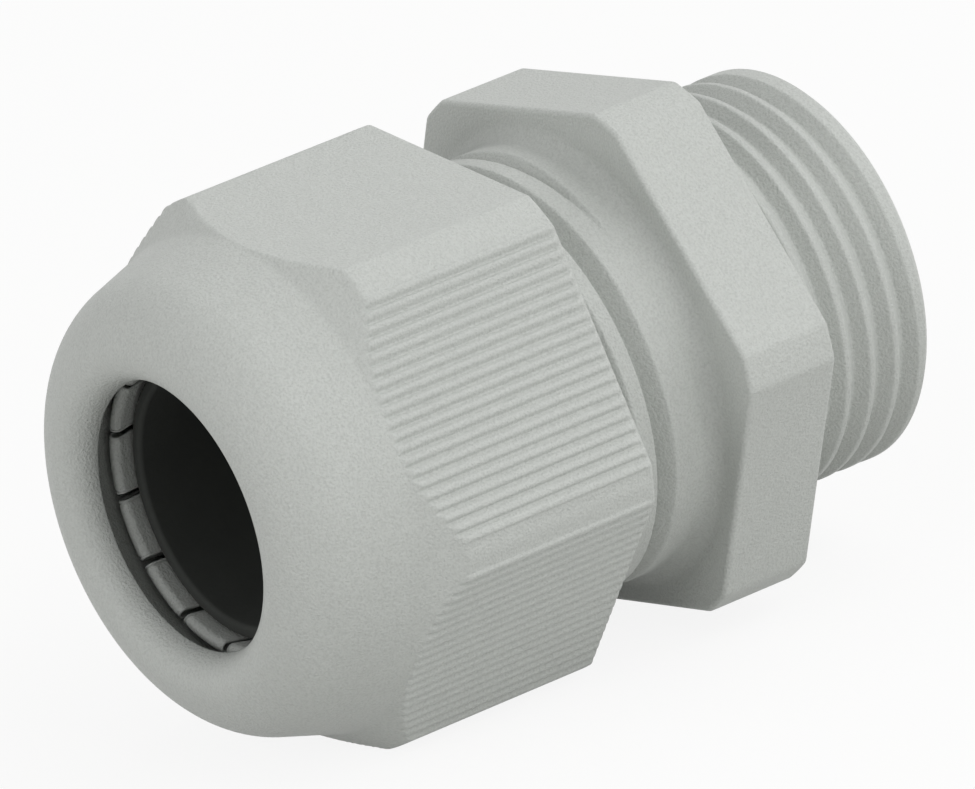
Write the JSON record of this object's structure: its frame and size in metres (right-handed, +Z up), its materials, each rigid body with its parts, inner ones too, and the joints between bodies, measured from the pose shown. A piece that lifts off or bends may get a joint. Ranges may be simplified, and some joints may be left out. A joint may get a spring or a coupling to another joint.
{
  "type": "cable gland",
  "caption": "Straight cable gland: threaded body with a hexagon collar, clamping fingers, a rubber seal and a ribbed dome nut that closes them round a cable.",
  "frame": {"origin": "centre of the collar's sealing face, on the gland's axis", "axes": "+X along the axis, out of the connection thread; the dome nut points along -X; +Z up as the gland lies on a surface"},
  "size_m": [0.0387, 0.0278, 0.0262],
  "materials": {
    "polyamide": "light grey moulded polyamide with a fine matt grain",
    "rubber": "black moulded chloroprene rubber"
  },
  "bodies": {
    "gland_body": {"gland_body": "polyamide"},
    "sealing_insert": {"sealing_insert": "rubber"},
    "dome_nut": {"dome_nut": "polyamide"},
    "clamp_finger_01": {"clamp_finger_01": "polyamide"},
    "clamp_finger_02": {"clamp_finger_02": "polyamide"},
    "clamp_finger_03": {"clamp_finger_03": "polyamide"},
    "clamp_finger_04": {"clamp_finger_04": "polyamide"},
    "clamp_finger_05": {"clamp_finger_05": "polyamide"},
    "clamp_finger_06": {"clamp_finger_06": "polyamide"},
    "clamp_finger_07": {"clamp_finger_07": "polyamide"},
    "clamp_finger_08": {"clamp_finger_08": "polyamide"},
    "clamp_finger_09": {"clamp_finger_09": "polyamide"},
    "clamp_finger_10": {"clamp_finger_10": "polyamide"},
    "clamp_finger_11": {"clamp_finger_11": "polyamide"},
    "clamp_finger_12": {"clamp_finger_12": "polyamide"},
    "clamp_finger_13": {"clamp_finger_13": "polyamide"},
    "clamp_finger_14": {"clamp_finger_14": "polyamide"}
  },
  "joints": [
    {"name": "nut_advance", "type": "slide", "parent": "gland_body", "child": "sealing_insert", "axis": [1, 0, 0], "range_m": [0, 0.001], "deforming": ["sealing_insert"]},
    {"name": "nut_turn", "type": "hinge", "parent": "sealing_insert", "child": "dome_nut", "pos_m": [0, 0, 0], "axis": [1, 0, 0], "range_deg": [0, 90]},
    {"name": "finger_01_flex", "type": "hinge", "parent": "gland_body", "child": "clamp_finger_01", "pos_m": [-0.01775, 0.00131, 0.00946], "axis": [0, -0.9906, 0.1367], "range_deg": [0, 3]},
    {"name": "finger_02_flex", "type": "hinge", "parent": "gland_body", "child": "clamp_finger_02", "pos_m": [-0.01775, 0.00528, 0.00796], "axis": [0, -0.8332, 0.553], "range_deg": [0, 3]},
    {"name": "finger_03_flex", "type": "hinge", "parent": "gland_body", "child": "clamp_finger_03", "pos_m": [-0.01775, 0.00821, 0.00488], "axis": [0, -0.5108, 0.8597], "range_deg": [0, 3]},
    {"name": "finger_04_flex", "type": "hinge", "parent": "gland_body", "child": "clamp_finger_04", "pos_m": [-0.01775, 0.00951, 0.00083], "axis": [0, -0.0872, 0.9962], "range_deg": [0, 3]},
    {"name": "finger_05_flex", "type": "hinge", "parent": "gland_body", "child": "clamp_finger_05", "pos_m": [-0.01775, 0.00893, -0.00338], "axis": [0, 0.3537, 0.9354], "range_deg": [0, 3]},
    {"name": "finger_06_flex", "type": "hinge", "parent": "gland_body", "child": "clamp_finger_06", "pos_m": [-0.01775, 0.00658, -0.00692], "axis": [0, 0.7245, 0.6893], "range_deg": [0, 3]},
    {"name": "finger_07_flex", "type": "hinge", "parent": "gland_body", "child": "clamp_finger_07", "pos_m": [-0.01775, 0.00293, -0.00909], "axis": [0, 0.9518, 0.3066], "range_deg": [0, 3]},
    {"name": "finger_08_flex", "type": "hinge", "parent": "gland_body", "child": "clamp_finger_08", "pos_m": [-0.01775, -0.00131, -0.00946], "axis": [0, 0.9906, -0.1367], "range_deg": [0, 3]},
    {"name": "finger_09_flex", "type": "hinge", "parent": "gland_body", "child": "clamp_finger_09", "pos_m": [-0.01775, -0.00528, -0.00796], "axis": [0, 0.8332, -0.553], "range_deg": [0, 3]},
    {"name": "finger_10_flex", "type": "hinge", "parent": "gland_body", "child": "clamp_finger_10", "pos_m": [-0.01775, -0.00821, -0.00488], "axis": [0, 0.5108, -0.8597], "range_deg": [0, 3]},
    {"name": "finger_11_flex", "type": "hinge", "parent": "gland_body", "child": "clamp_finger_11", "pos_m": [-0.01775, -0.00951, -0.00083], "axis": [0, 0.0872, -0.9962], "range_deg": [0, 3]},
    {"name": "finger_12_flex", "type": "hinge", "parent": "gland_body", "child": "clamp_finger_12", "pos_m": [-0.01775, -0.00893, 0.00338], "axis": [0, -0.3537, -0.9354], "range_deg": [0, 3]},
    {"name": "finger_13_flex", "type": "hinge", "parent": "gland_body", "child": "clamp_finger_13", "pos_m": [-0.01775, -0.00658, 0.00692], "axis": [0, -0.7245, -0.6893], "range_deg": [0, 3]},
    {"name": "finger_14_flex", "type": "hinge", "parent": "gland_body", "child": "clamp_finger_14", "pos_m": [-0.01775, -0.00293, 0.00909], "axis": [0, -0.9518, -0.3066], "range_deg": [0, 3]}
  ],
  "couplings": [
    {"joint": "nut_advance", "follows": "nut_turn", "m_per_rad": 0.00063662},
    {"joint": "finger_01_flex", "follows": "nut_turn", "ratio": 0.033333},
    {"joint": "finger_02_flex", "follows": "nut_turn", "ratio": 0.033333},
    {"joint": "finger_03_flex", "follows": "nut_turn", "ratio": 0.033333},
    {"joint": "finger_04_flex", "follows": "nut_turn", "ratio": 0.033333},
    {"joint": "finger_05_flex", "follows": "nut_turn", "ratio": 0.033333},
    {"joint": "finger_06_flex", "follows": "nut_turn", "ratio": 0.033333},
    {"joint": "finger_07_flex", "follows": "nut_turn", "ratio": 0.033333},
    {"joint": "finger_08_flex", "follows": "nut_turn", "ratio": 0.033333},
    {"joint": "finger_09_flex", "follows": "nut_turn", "ratio": 0.033333},
    {"joint": "finger_10_flex", "follows": "nut_turn", "ratio": 0.033333},
    {"joint": "finger_11_flex", "follows": "nut_turn", "ratio": 0.033333},
    {"joint": "finger_12_flex", "follows": "nut_turn", "ratio": 0.033333},
    {"joint": "finger_13_flex", "follows": "nut_turn", "ratio": 0.033333},
    {"joint": "finger_14_flex", "follows": "nut_turn", "ratio": 0.033333}
  ]
}
